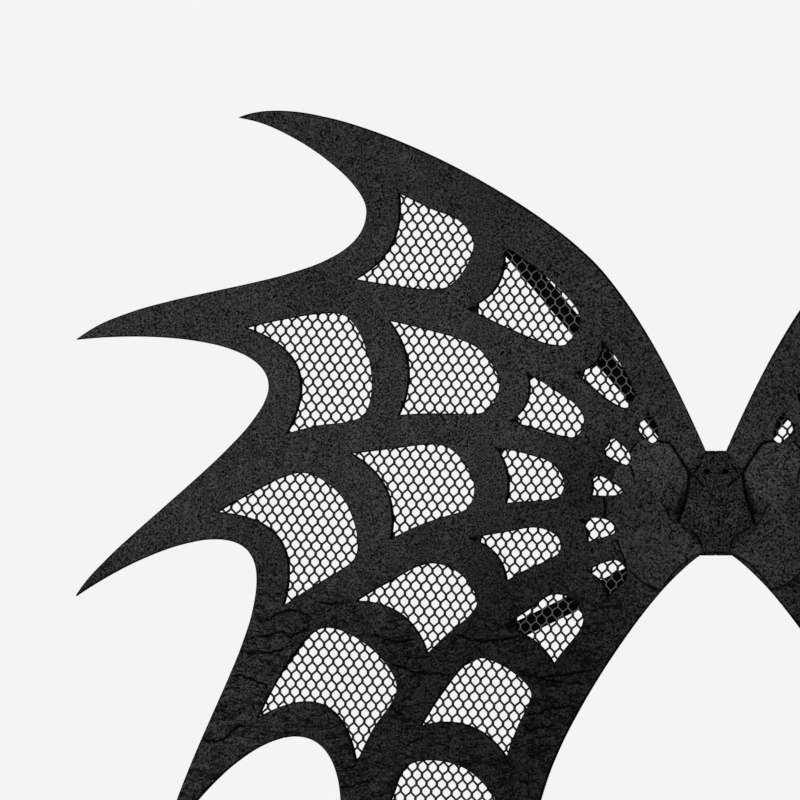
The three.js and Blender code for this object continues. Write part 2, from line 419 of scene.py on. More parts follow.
@dataclass(frozen=True)
class ThreadFinish:
    """Knitted black thread, with the twist of its strands, a painted highlight along each strand's middle,
    and painted paler as painted light where it lies in front of a rib.
    """

    name: str = "net_thread"
    deep: Colour = (0.002, 0.002, 0.002)
    pale: Colour = (0.24, 0.24, 0.24)
    backdrop_shade: float = 0.2
    highlight_power: float = 3.0
    twist: float = 0.35 * MM
    twist_depth: float = 0.1 * MM
    rough: float = 0.7
    gloss: float = 0.08

    def make(self) -> bpy.types.Material:
        """Builds the material.

        Returns:
            The material.
        """
        material, sheet, shader = fresh_material(self.name)
        place = sheet.add("ShaderNodeTexCoord").outputs["Object"]
        # Painted highlight: each strand is painted pale along its middle and dark at its edges.
        lit_core = sheet.add("ShaderNodeAttribute", attribute_name="middle").outputs["Fac"]
        twist = sheet.ramp(sheet.cloud(place, 1.0 / self.twist, 1.0), (0.35, 0.65), (0.5, 1.0))
        strand = sheet.sum("MULTIPLY", sheet.sum("POWER", lit_core, self.highlight_power), twist)
        # Painted light: strands in front of a rib are painted paler than those against the backdrop.
        on_rib = sheet.add("ShaderNodeAttribute", attribute_name="on_rib").outputs["Fac"]
        shade = sheet.sum("MULTIPLY", strand, sheet.ramp(on_rib, (0.0, 1.0), (self.backdrop_shade, 1.0)))
        sheet.feed(shader.inputs["Base Color"], sheet.blend(shade, self.deep, self.pale))
        bump = add_bump(sheet, self.twist_depth, 0.6, strand)
        sheet.feed(shader.inputs["Normal"], bump.outputs["Normal"])
        shader.inputs["Roughness"].default_value = self.rough
        shader.inputs["Specular IOR Level"].default_value = self.gloss
        return material


@dataclass(frozen=True)
class RibFinish:
    """A black strip with a fine drawn grain."""

    name: str = "rib_strip"
    deep: Colour = (0.0008, 0.0008, 0.0008)
    pale: Colour = (0.002, 0.002, 0.002)
    grain_depth: float = 0.05 * MM
    rough: float = 0.6
    rougher: float = 0.75
    gloss: float = 0.015

    def make(self) -> bpy.types.Material:
        """Builds the material.

        Returns:
            The material.
        """
        material, sheet, shader = fresh_material(self.name)
        place = sheet.add("ShaderNodeTexCoord").outputs["Object"]
        grain = sheet.ramp(sheet.cloud(place, 900.0, 3.0), (0.35, 0.65))
        sheet.feed(shader.inputs["Base Color"], sheet.blend(grain, self.deep, self.pale))
        sheet.feed(shader.inputs["Roughness"], sheet.ramp(grain, (0.0, 1.0), (self.rough, self.rougher)))
        bump = add_bump(sheet, self.grain_depth, 0.5, grain)
        sheet.feed(shader.inputs["Normal"], bump.outputs["Normal"])
        shader.inputs["Specular IOR Level"].default_value = self.gloss
        return material


# Shapes


@dataclass(frozen=True)
class Bow:
    """How the wings bow towards the viewer past their flat root."""

    start: float
    reach: float
    depth: float

    def forward(self, x: float) -> float:
        """How far a sheet at x lies in front of its place at the root."""
        return self.depth * max(0.0, (abs(x) - self.start) / (self.reach - self.start)) ** 2

    def root_span(self, node: str) -> tuple[float, float]:
        """Where a bowed node's show side and its back lie at the flat root."""
        low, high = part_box(node)
        return low.y + max(self.forward(low.x), self.forward(high.x)), high.y


WING_BOW = Bow(start=110 * MM, reach=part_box("right_wing")[1].x, depth=24 * MM)
NO_BOW = Bow(start=0.0, reach=1.0, depth=0.0)


def fade(value: float) -> float:
    """A smooth step from 0 to 1."""
    held = min(1.0, max(0.0, value))
    return held * held * (3 - 2 * held)


def hump(value: float) -> float:
    """A smooth bell: 1 in the middle and nearly 0 past 2."""
    return math.exp(-value * value)


def finished(
    bm: bmesh.types.BMesh, name: str, material: bpy.types.Material, sharp: float
) -> bpy.types.Object:
    """Turns a bmesh into a piece of the object.

    Args:
        bm: The bmesh, which is freed.
        name: The piece's name.
        material: Its material.
        sharp: Edges that turn by more than this angle, in degrees, are shaded sharp.

    Returns:
        The new object, riding on the part.
    """
    mesh = bpy.data.meshes.new(name)
    bm.to_mesh(mesh)
    bm.free()
    mesh.shade_smooth()
    mesh.set_sharp_from_angle(angle=math.radians(sharp))
    mesh.materials.append(material)
    piece = bpy.data.objects.new(name, mesh)
    bpy.context.scene.collection.objects.link(piece)
    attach(piece, BODY)
    LOG.info("%s: %d faces", name, len(mesh.polygons))
    return piece


@dataclass(frozen=True)
class Crease:
    """A fold line dented into the felt and painted dark along its groove as shade, through points in
    millimetres out and up.

    Its ridge is a share of its depth, its taper is a share of its length, and at its end it opens to so many
    times its half width.
    """

    points: tuple[Spot, ...]
    depth: float = 0.5
    wide: float = 0.75
    ridge: float = 0.45
    waver: float = 1.1
    taper: float = 0.2
    opens: float = 1.0

    def line(self, step: float) -> list[Vector]:
        """Draws the crease as close points on a curve.

        Args:
            step: The spacing of the points.

        Returns:
            The points, in the flat.
        """
        stops = [Vector((out, 0.0, up)) * MM for out, up in self.points]
        padded = [stops[0], *stops, stops[-1]]
        drawn = []
        for before, here, after, beyond in zip(padded, padded[1:], padded[2:], padded[3:]):
            count = max(2, round((after - here).length / step) + 1)
            leave = here + (after - before) / 6
            arrive = after - (beyond - here) / 6
            drawn += interpolate_bezier(here, leave, arrive, after, count)[:-1]
        return [*drawn, stops[-1]]


@dataclass(frozen=True)
class JoinedCorner:
    """A window corner left uncut, whose narrow tip is painted as a dark slit of shade: its tip in
    millimetres out and up, and its length.
    """

    tip: Spot
    length: float

    def gap(self, point: Vector) -> float:
        """How far a point of either wing lies from the tip, in millimetres."""
        return math.hypot(abs(point.x) / MM - self.tip[0], point.z / MM - self.tip[1])

    def slit(self, before: Vector, tip: Vector, after: Vector) -> Crease:
        """The dark slit painted in the corner as shade, which widens towards its window.

        Args:
            before: The window's point before its tip.
            tip: The tip.
            after: The window's point after its tip.

        Returns:
            The slit.
        """
        inward = (before - tip).normalized() + (after - tip).normalized()
        ends = (tip / MM, tip / MM + inward.normalized() * self.length)
        points = tuple((end.x, end.z) for end in ends)
        opens = 1.5 * self.length
        return Crease(points, depth=0.6, wide=0.3, ridge=0.0, waver=0.1, taper=0.01, opens=opens)


JOINED_CORNERS = (
    JoinedCorner((128.75, 48.75), 5.0),
    JoinedCorner((118.1, 80), 5.5),
    JoinedCorner((133.75, -79.4), 8.5),
    JoinedCorner((66.25, 40.6), 2.6),
    JoinedCorner((71.9, 30.6), 2.2),
    JoinedCorner((70.6, 100), 6.0),
    JoinedCorner((88.1, 80), 5.0),
    JoinedCorner((50.6, 46.9), 3.2),
    JoinedCorner((41.9, 55.6), 3.2),
    JoinedCorner((153.75, -23.75), 6.5),
    JoinedCorner((137.5, 33.1), 5.0),
    JoinedCorner((155, 119.4), 6.0),
    JoinedCorner((132.5, 158.75), 3.0),
    JoinedCorner((80.6, -44.4), 2.6),
    JoinedCorner((78.75, 17.5), 4.0),
    JoinedCorner((84.4, -11.9), 4.0),
)


@dataclass(frozen=True)
class Cutting:
    """A flat blank, cut along the outline and the holes of a frame node's show side."""

    node: str
    grid: float
    edge: float
    bow: Bow = NO_BOW
    joined: tuple[JoinedCorner, ...] = ()
    corner: float = math.radians(30)
    near: float = 0.5 * MM
    least: float = 0.2 * MM

    def loops(self) -> list[list[Vector]]:
        """The node's outline and holes on its show side.

        Returns:
            The corners of each closed loop, in order, in the flat.
        """
        bm = bmesh.new()
        bm.from_mesh(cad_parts[self.node].data)
        bmesh.ops.remove_doubles(bm, verts=bm.verts[:], dist=self.near * 1e-3)
        base = self.bow.root_span(self.node)[0]
        shown = {v for v in bm.verts if abs(v.co.y - base + self.bow.forward(v.co.x)) < self.near}
        hidden = [f for f in bm.faces if not shown.issuperset(f.verts)]
        bmesh.ops.delete(bm, geom=hidden, context="FACES")
        left = {e for e in bm.edges if e.is_boundary}
        found = []
        while left:
            first, here = min(left, key=lambda e: e.index).verts
            left.discard(next(e for e in first.link_edges if here in e.verts))
            loop = [first.co.xz]
            while here != first:
                loop.append(here.co.xz)
                edge = next(e for e in here.link_edges if e in left)
                left.remove(edge)
                here = edge.other_vert(here)
            found.append([Vector((out, 0.0, up)) for out, up in loop])
        bm.free()
        return found

    def heading(self, before: Vector, here: Vector, after: Vector) -> Vector | None:
        """The way an outline runs at a point.

        Args:
            before: The point before it.
            here: The point.
            after: The point after it.

        Returns:
            A unit vector, or None at a sharp corner.
        """
        inward = here - before
        onward = after - here
        if inward.angle(onward) > self.corner:
            return None
        return (inward.normalized() * onward.length + onward.normalized() * inward.length).normalized()

    def eased(self, points: list[Vector]) -> list[Vector]:
        """A closed outline redrawn as smooth curves between its sharp corners.

        Args:
            points: The outline's points.

        Returns:
            Closer points along the same outline.
        """
        count = len(points)
        ways = [self.heading(points[i - 1], points[i], points[(i + 1) % count]) for i in range(count)]
        made = []
        for i, here in enumerate(points):
            after = points[(i + 1) % count]
            chord = after - here
            straight = chord.normalized()
            leave = ways[i]
            arrive = ways[(i + 1) % count]
            if leave is None:
                leave = straight if arrive is None else arrive.reflect(straight) * -1
            if arrive is None:
                arrive = leave.reflect(straight) * -1
            steps = max(2, math.ceil(chord.length / self.edge) + 1)
            reach = chord.length / 3
            leaving = here + leave * reach
            arriving = after - arrive * reach
            made += interpolate_bezier(here, leaving, arriving, after, steps)[:-1]
        return made

    def corners_of(self, loop: list[Vector]) -> list[tuple[Vector, JoinedCorner]]:
        """The corners of a loop that stay joined.

        Args:
            loop: The loop's points.

        Returns:
            Each corner's point, with its length.
        """
        return [(point, corner) for corner in self.joined for point in loop if corner.gap(point) < 1]

    def slits(self) -> tuple[Crease, ...]:
        """The dark slits painted as shade in the joined corners.

        Returns:
            One crease for each corner.
        """
        found = []
        for loop in self.loops():
            for tip, corner in self.corners_of(loop):
                i = loop.index(tip)
                found.append(corner.slit(loop[i - 1], tip, loop[(i + 1) % len(loop)]))
        return tuple(found)

    def blank(self) -> bmesh.types.BMesh:
        """The flat blank, cut across into a fine grid that follows its edges.

        Returns:
            A bmesh in the plane of X and Z.
        """
        bm = bmesh.new()
        for loop in self.loops():
            kept = self.eased(loop)
            for _, corner in self.corners_of(loop):
                kept = [point for point in kept if corner.gap(point) > corner.length]
            ring = [bm.verts.new(point) for point in kept]
            for before, here in zip([ring[-1], *ring], ring):
                bm.edges.new((before, here))
        bmesh.ops.triangle_fill(bm, edges=bm.edges[:], normal=SHOW)
        bmesh.ops.dissolve_limit(bm, angle_limit=0.02, edges=bm.edges[:])
        low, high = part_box(self.node)
        for axis in (Vector((1, 0, 0)), Vector((0, 0, 1))):
            cut_across(bm, axis, low.dot(axis) + self.grid / 2, high.dot(axis), self.grid)
        bmesh.ops.remove_doubles(bm, verts=bm.verts[:], dist=self.least)
        bmesh.ops.delete(bm, geom=[e for e in bm.edges if e.is_wire], context="EDGES")
        tidy_faces(bm)
        return bm


def cut_across(bm: bmesh.types.BMesh, axis: Vector, place: float, end: float, step: float) -> None:
    """Cuts a mesh across into even bands.

    Args:
        bm: The mesh.
        axis: The way from one cut to the next.
        place: Where the first cut lies.
        end: Where the cuts end.
        step: The width of a band.
    """
    while place < end:
        everything = bm.verts[:] + bm.edges[:] + bm.faces[:]
        bmesh.ops.bisect_plane(bm, geom=everything, dist=1e-6, plane_co=axis * place, plane_no=axis)
        place += step


def tidy_faces(bm: bmesh.types.BMesh) -> None:
    """Splits faces of more than four corners, which bend badly."""
    bmesh.ops.triangulate(bm, faces=[f for f in bm.faces if len(f.verts) > 4])


@dataclass(frozen=True)
class Mark:
    """One point of a crease, with its depth, its half width and the share of its ridge."""

    place: Vector
    depth: float
    wide: float
    ridge: float


class CreaseMap:
    """Finds how far a point of the felt lies from its nearest crease."""

    def __init__(self, creases: tuple[Crease, ...], step: float = 0.4 * MM) -> None:
        """Draws the creases as wavering lines of close points.

        Args:
            creases: The creases.
            step: The spacing of the points.
        """
        self.marks: list[Mark] = []
        for crease in creases:
            line = crease.line(step)
            for i, point in enumerate(line):
                stray = noise.noise(point * 260) + 0.8 * noise.noise(point * 610)
                along = i / (len(line) - 1)
                force = fade(along / crease.taper) * fade((1 - along) / crease.taper)
                force *= max(0.3, 0.85 + 0.8 * noise.noise(point * 240 + SHOW))
                place = point + Vector((0, 0, stray * (crease.waver * MM)))
                wide = crease.wide * MM * (1 + (crease.opens - 1) * along)
                self.marks.append(Mark(place, crease.depth * MM * force, wide, crease.ridge))
        self.tree = KDTree(len(self.marks))
        for i, mark in enumerate(self.marks):
            self.tree.insert(mark.place, i)
        self.tree.balance()

    def nearest(self, x: float, z: float) -> tuple[float, Mark]:
        """The nearest crease to a point of either wing.

        Args:
            x: The point's place along the wings.
            z: Its height.

        Returns:
            How far above the crease it lies, and the crease's nearest point.
        """
        place, index, gap = self.tree.find(Vector((abs(x), 0.0, z)))
        return math.copysign(gap, z - place.z), self.marks[index]


# Painted shadow: dark grooves along the root patch's rim, where its edge shades the felt beside it.
PATCH_RIM_SHADOWS = (
    Crease(((37, 37), (30, 35.6), (28, 34), (22.5, 25.9), (16.6, 16.2)), 0.8, 0.85, 0.2, 0.15, 0.03),
    Crease(((54, 29.5), (51.3, 33.8), (48, 37)), 0.6, 0.7, 0.2, 0.15, 0.05),
    Crease(((64.4, 20.6), (66.9, 16.9), (68.8, 12.5)), 0.45, 0.6, 0.2, 0.15, 0.1),
    Crease(((69.4, 2), (68.8, -4.4), (69, -12.5)), 0.7, 0.8, 0.2, 0.15, 0.05),
    Crease(((62.5, -23.8), (59.4, -31.9), (56.9, -38.8), (55, -48)), 0.6, 0.75, 0.2, 0.15, 0.1),
)

# Painted shadow: dark grooves along the centre panel's side and lower edges, under its lifted edge.
PANEL_RIM_SHADOWS = (
    Crease(((16.6, 17.2), (17.5, 8), (20, -3), (22.5, -10), (23.8, -15)), 0.9, 1.05, 0.0, 0.2, 0.03),
    Crease(((23, -15.6), (17.5, -18.8), (13.8, -21.3), (10, -25.6), (8.8, -31)), 0.4, 0.75, 0.0, 0.35),
)

FLAP_SHADE = Crease(((18.4, 10), (21.6, -3), (24.3, -10), (25.2, -13)), 0.26, 2.6, 0.0, 0.2)

# Painted shade: a dark dent where a hole near the panel's top shows dark.
LOOP_HOLE_SHADE = Crease(((4.4, 17.8), (5.7, 17.8), (7, 17.8)), 0.7, 2, 0.0, 0.0, 0.01)

WING_CREASES = (
    Crease(((286.9, -57.5), (278.8, -58.8), (270.6, -58.1)), 0.25),
    Crease(((288, -74.4), (280, -75), (272.5, -70.6), (265.6, -68.8), (257.5, -70.6), (250, -73.8))),
    Crease(((289.4, -82.5), (286, -85), (278.8, -84.4), (270.6, -82.5), (265, -85.6), (260, -82.5),
            (250.6, -81.3))),
    Crease(((295.6, -95), (288, -94.4), (281.3, -95), (275, -94.4), (266.3, -93.8)), 0.55),
    Crease(((302.5, -110), (294.4, -110), (287.5, -113), (281.3, -115.6), (276.9, -116.3))),
    Crease(((283.8, -108.8), (279, -109.2), (275, -108.8)), 0.25),
    Crease(((307.5, -119.4), (304, -118), (300.6, -116.9)), 0.25),
    Crease(((321.9, -146.9), (317.5, -150), (311.3, -150.6), (306.3, -148.8), (300, -142.5),
            (291.3, -140))),
    Crease(((263.1, -139.4), (253.8, -141.9), (244.4, -140.6)), 0.25),
    Crease(((248.8, -63.8), (241.3, -65), (235, -65), (226.9, -63.8))),
    Crease(((241.3, -72.5), (228.8, -76.3), (219.4, -71.9)), 0.25),
    Crease(((219.4, -86.3), (210, -85), (200.6, -88.8), (191.3, -87.5), (183.8, -87.5)), 0.5),
    Crease(((206.9, -96.9), (202.5, -101.9), (194.4, -105), (187.5, -107.5), (172.5, -108.8),
            (162.5, -110)), 0.5),
    Crease(((236.3, -180), (228.8, -178.8), (221.9, -176.3), (213, -175)), 0.5),
    Crease(((236.3, -170), (228.8, -167.5), (221.3, -164.4))),
    Crease(((206.3, -123.8), (200, -131.3), (195, -133.8))),
    Crease(((166.3, -82.5), (156.9, -85.6), (147.5, -88), (135, -87.5), (125.6, -85.6), (116.3, -88))),
    Crease(((131.3, -80), (141.3, -75.6), (150, -73)), 0.3),
    Crease(((78.8, -65.6), (69.4, -67.5), (62.5, -66.3), (55.6, -67.5)), 0.3),
    Crease(((89.4, -93.8), (80, -95), (72.5, -96.9)), 0.3),
    Crease(((122.5, -109.4), (110, -110.6), (97.5, -110), (85, -108), (73, -105))),
    Crease(((116.3, -116.3), (106.9, -112.5), (97.5, -113.8), (88, -114.4), (77.5, -115)), 0.5),
    Crease(((119.4, -135), (110, -133), (103.8, -130.6), (94.4, -129.4), (85, -130)), 0.5),
    Crease(((121.3, -138.8), (116.3, -143.8), (110, -142.5), (100, -141.3)), 0.5),
    Crease(((195.6, -154.4), (188, -150.6), (181.9, -148), (175, -145)), 0.5),
    Crease(((120, -171.9), (116.3, -181.3), (117.5, -188.8)), 0.25),
    Crease(((209, -205), (199, -208), (187, -206), (176, -209))),
    Crease(((140, -222), (131, -225), (120, -224)), 0.5),
    Crease(((231, -252), (222, -256), (212, -255))),
    Crease(((150, -268), (142, -272), (131, -270))),
)

PATCH_CREASES = (
    Crease(((23.8, -15), (26.9, -13.8), (29.4, -9.4), (31.3, -5), (35, -1.9)), 0.45, 0.6, waver=0.3),
    Crease(((55.6, 23), (53, 20), (51.3, 13.8), (50.6, 8.8)), 0.3, waver=0.3),
    Crease(((47.5, 1.3), (46.8, -2), (45.6, -5)), 0.25, waver=0.3),
)

PANEL_CREASES = (
    Crease(((18, 17.6), (12.5, 13.8), (7, 7.5)), 0.8, 0.75, 0.3, 0.2, 0.1),
    Crease(((9.4, 22.5), (12.4, 18.6), (14.2, 16.4)), 0.6, 0.65, 0.3, 0.2, 0.1),
    Crease(((17.5, 18.5), (14, 19.6), (10.6, 20)), 0.45, 0.55, 0.3, 0.2, 0.1),
    Crease(((1, 10), (2.6, 5), (3.4, 1), (5.2, -4.5)), 0.3, 0.5, waver=0.3),
    Crease(((15, -9), (13.6, -14), (14.5, -18)), 0.3, 0.5, waver=0.3),
    Crease(((7, -14), (9.5, -19), (8.4, -24)), 0.25, 0.5, waver=0.3),
    # Painted shade: the same hole, as a dark dent on the panel.
    Crease(((4.2, 17.8), (5.7, 17.8), (7.2, 17.8)), 0.4, 1.6, 0.0, 0.0, 0.01),
)


@dataclass(frozen=True)
class Worn:
    """A spot of painted shade, where the felt's colour is darkened: its middle and reach in millimetres, and
    its force.
    """

    middle: Spot
    reach: float
    force: float

    def at(self, x: float, z: float) -> float:
        """How much painted shade this spot gives a point of either wing, from 0 to 1."""
        gap = math.hypot(abs(x) / MM - self.middle[0], z / MM - self.middle[1])
        return self.force * fade(1 - gap / self.reach)


# Painted shade: patches of the wing darkened in colour to follow the falloff of light, darkest low on the
# wing.
WING_SHADE_SPOTS = (
    Worn((72, 8), 55, 0.75),
    Worn((105, 0), 50, 0.4),
    Worn((120, -45), 75, 0.6),
    Worn((95, -105), 100, 0.85),
    Worn((180, -105), 85, 0.66),
    Worn((190, -175), 90, 0.45),
    Worn((105, -195), 110, 0.8),
    Worn((250, -80), 50, 0.35),
    Worn((250, -150), 60, 0.4),
    Worn((160, -270), 120, 0.5),
    Worn((135, 187), 120, 0.3),
    Worn((260, 231), 70, 0.3),
    Worn((50, 75), 80, 0.38),
    Worn((120, 195), 70, 0.22),
    Worn((185, -30), 45, 0.3),
    Worn((280, -25), 40, 0.3),
    Worn((60, -62), 40, 0.3),
    Worn((204, 215), 60, 0.2),
    Worn((79, 140), 45, 0.25),
    Worn((104, 33), 28, 0.3),
    Worn((255, 131), 40, 0.2),
)

# Painted shade on the root patch; the first spot is the shadow beside the centre panel's lifted lower
# corner.
PATCH_SHADE_SPOTS = (
    Worn((25.6, -7), 13, 0.75),
    Worn((50, -32), 45, 0.35),
    Worn((56, 0), 28, 0.42),
)


@dataclass
class FeltPiece:
    """A sheet of felt with soft slanted cut edges, made over a frame node."""

    cutting: Cutting
    thick: float
    material: bpy.types.Material
    slot: Slot
    hold: Hold
    creases: CreaseMap
    worn: tuple[Worn, ...] = ()
    swell: float = 0.2 * MM
    # The band along the cut rim over which the rim's painted shade fades out.
    rim_shade_band: float = 0.7 * MM
    rim_dark: float = 1.7
    slant: float = 0.0
    slant_from: float = 40 * MM
    wave: float = 0.2 * MM
    full_press: float = 0.35 * MM
    ridge_place: float = 2.6
    ridge_wide: float = 1.6
    sharp: float = 42.0
    bands: tuple[float, ...] = (2.6 * MM, 1.5 * MM)
    flat_area: float = field(default=0.0, init=False)

    def lift(self, x: float, z: float) -> float:
        """How far the whole sheet stands towards the viewer at a point."""
        return 0.0

    def dent(self, x: float, z: float) -> float:
        """How far the show side is dented back: creases with a ridge above each, over soft waves.

        Args:
            x: The point's place along the wings.
            z: Its height.

        Returns:
            The depth of the dent.
        """
        above, mark = self.creases.nearest(x, z)
        groove = mark.depth * hump(above / mark.wide)
        over = (above - self.ridge_place * mark.wide) / (self.ridge_wide * mark.wide)
        ridge = mark.ridge * mark.depth * hump(over)
        return groove - ridge + self.wave * noise.noise(Vector((x * 30, 7.0, z * 75)))

    def fold_shade(self, x: float, z: float) -> float:
        """How deep in a fold a point of the show side lies, from 0 to 1, which is painted as shade."""
        above, mark = self.creases.nearest(x, z)
        return min(1.0, mark.depth / self.full_press) * fade(1.7 - 1.25 * abs(above) / mark.wide)

    def rubbed(self, x: float, z: float) -> float:
        """How much the spots of painted shade darken the felt at a point, from 0 to 1."""
        return 1 - math.prod(1 - spot.at(x, z) for spot in self.worn)

    def refine(self, bm: bmesh.types.BMesh) -> None:
        """Adds closer points to the show side along the creases, in bands that grow narrower.

        Args:
            bm: The flat double sheet, with its show side at 0.
        """
        for reach in self.bands:
            close = set()
            for face in bm.faces:
                x, y, z = face.calc_center_median()
                if y < self.thick / 100 and abs(self.creases.nearest(x, z)[0]) < reach:
                    close.update(face.edges)
            bmesh.ops.subdivide_edges(bm, edges=list(close), cuts=1, use_grid_fill=True)
            tidy_faces(bm)

    def shape(self, bm: bmesh.types.BMesh, shown: set[bmesh.types.BMVert]) -> None:
        """Bends a flat double sheet to its place, with its creases and its slanted edges.

        Args:
            bm: The double sheet.
            shown: The points of its show side.
        """
        fold = bm.verts.layers.float["fold_shade"]
        rubbed = bm.verts.layers.float["rubbed"]
        base = self.cutting.bow.root_span(self.cutting.node)[0]
        for vert in bm.verts:
            x, _, z = vert.co
            out = math.copysign(self.slant / 2, x) * fade(abs(x) / self.slant_from - 0.5)
            vert[rubbed] = self.rubbed(x, z)
            vert.co.y = base - self.cutting.bow.forward(x) - self.lift(x, z)
            if vert in shown:
                vert.co.y += self.dent(x, z)
                vert.co.x += out
                cut = any(not shown.issuperset(face.verts) for face in vert.link_faces)
                # Painted shade: the show side is painted dark in its folds, and fully dark along its cut
                # rim.
                vert[fold] = max(self.fold_shade(x, z), self.rim_dark * cut)
            else:
                vert.co.y += self.thick
                vert.co.x -= out
                # Painted shade: the back's points at the cut walls are painted fully dark.
                vert[fold] = float(any(edge.other_vert(vert) in shown for edge in vert.link_edges))

    def build(self) -> bpy.types.Object:
        """Makes the piece.

        Returns:
            The finished object, standing for its node.
        """
        bm = self.cutting.blank()
        self.flat_area = sum(f.calc_area() for f in bm.faces)
        fold = bm.verts.layers.float.new("fold_shade")
        bm.verts.layers.float.new("rubbed")
        front = bm.faces[:]
        made = bmesh.ops.extrude_face_region(bm, geom=bm.edges[:] + front, use_keep_orig=True)
        back = [v for v in made["geom"] if isinstance(v, bmesh.types.BMVert)]
        bmesh.ops.translate(bm, verts=back, vec=(0, self.thick, 0))
        bmesh.ops.inset_region(bm, faces=front, thickness=self.rim_shade_band)
        self.refine(bm)
        shown = {v for v in bm.verts if v.co.y < self.thick / 2}
        self.shape(bm, shown)
        walls = [e for e in bm.edges if len(shown.intersection(e.verts)) == 1]
        bmesh.ops.recalc_face_normals(bm, faces=bm.faces[:])
        rows = bmesh.ops.subdivide_edges(bm, edges=walls, cuts=2)
        bm.normal_update()
        # Painted shade: the middle rows of the cut walls swell out and are painted fully dark.
        for vert in [v for v in rows["geom_inner"] if isinstance(v, bmesh.types.BMVert)]:
            vert.co += vert.normal * self.swell
            vert[fold] = 1.0
        tidy_faces(bm)
        piece = finished(bm, f"{self.cutting.node}_felt", self.material, self.sharp)
        self.declare()
        return piece

    def declare(self) -> None:
        """Hides the frame node that the piece stands for.
        """
        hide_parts(self.cutting.node)


@dataclass(frozen=True)
class TipCurl:
    """How one pointed tip curls: its place in millimetres out and up, and its lift."""

    tip: Spot
    lift: float


TIP_CURLS = (
    TipCurl((298, 238.75), 2.5 * MM),
    TipCurl((398.75, 100.25), -2.0 * MM),
    TipCurl((399, -59.5), 3.0 * MM),
    TipCurl((347, -220), -2.5 * MM),
    TipCurl((245, -352), 3.5 * MM),
    TipCurl((143, -345), -1.5 * MM),
)


@dataclass
class WingFelt(FeltPiece):
    """A die-cut wing with its web of windows, its creases and its curled tips."""

    curl_reach: float = 85 * MM

    def lift(self, x: float, z: float) -> float:
        """The tips' curl.

        Args:
            x: The point's place along the wings.
            z: Its height.

        Returns:
            How far the felt stands towards the viewer.
        """
        total = 0.0
        for curl in TIP_CURLS:
            gap = math.hypot(abs(x) - curl.tip[0] * MM, z - curl.tip[1] * MM)
            total += curl.lift * fade(1 - gap / self.curl_reach)
        return total


@dataclass
class CentrePanel(FeltPiece):
    """The shield-shaped panel over the spine, laid down at its top and lifted at its lower corners."""

    corner: Spot = (22.75, -13)
    corner_lift: float = 1.6 * MM
    corner_reach: float = 17 * MM
    nape: Spot = (19, 29)
    nape_press: float = 1.9 * MM
    belly: float = 0.7 * MM
    belly_drop: float = 6 * MM
    belly_reach: Spot = (14, 20)

    def lift(self, x: float, z: float) -> float:
        """The lifted corners, the round middle and the top that lies down on the nape.

        Args:
            x: The point's place along the wings.
            z: Its height.

        Returns:
            How far the panel stands towards the viewer.
        """
        gap = math.hypot(abs(x) - self.corner[0] * MM, z - self.corner[1] * MM)
        start, end = (height * MM for height in self.nape)
        down = fade((z - start) / (end - start))
        wide, high = (reach * MM for reach in self.belly_reach)
        middle = self.belly * hump(x / wide) * hump((z + self.belly_drop) / high)
        return self.corner_lift * fade(1 - gap / self.corner_reach) + middle - self.nape_press * down


@dataclass(frozen=True)
class NetCell:
    """One hexagon of the net, point up."""

    pitch: float = 6.4 * MM
    row: float = 5.1 * MM
    side: float = 2.4 * MM
    side_thread: float = 1.7 * MM
    slant_thread: float = 1.2 * MM
    rounding: float = 0.1

    def corners(self) -> list[Vector]:
        """The hexagon's six corners, where the threads' middle lines meet.

        Returns:
            The corners, in order.
        """
        half = self.pitch / 2
        low = self.side / 2
        top = self.row - low
        return [
            Vector((out, 0.0, up))
            for out, up in ((0, top), (half, low), (half, -low), (0, -top), (-half, -low), (-half, low))
        ]

    def hole_scale(self) -> tuple[float, float]:
        """The hole's width and height as shares of the hexagon's.

        Returns:
            The two shares.
        """
        across = 1 - self.side_thread / self.pitch
        slant = Vector((self.pitch / 2, self.row - self.side))
        up = 1 - self.slant_thread * slant.length / self.pitch / (self.row - self.side / 2)
        return across, up


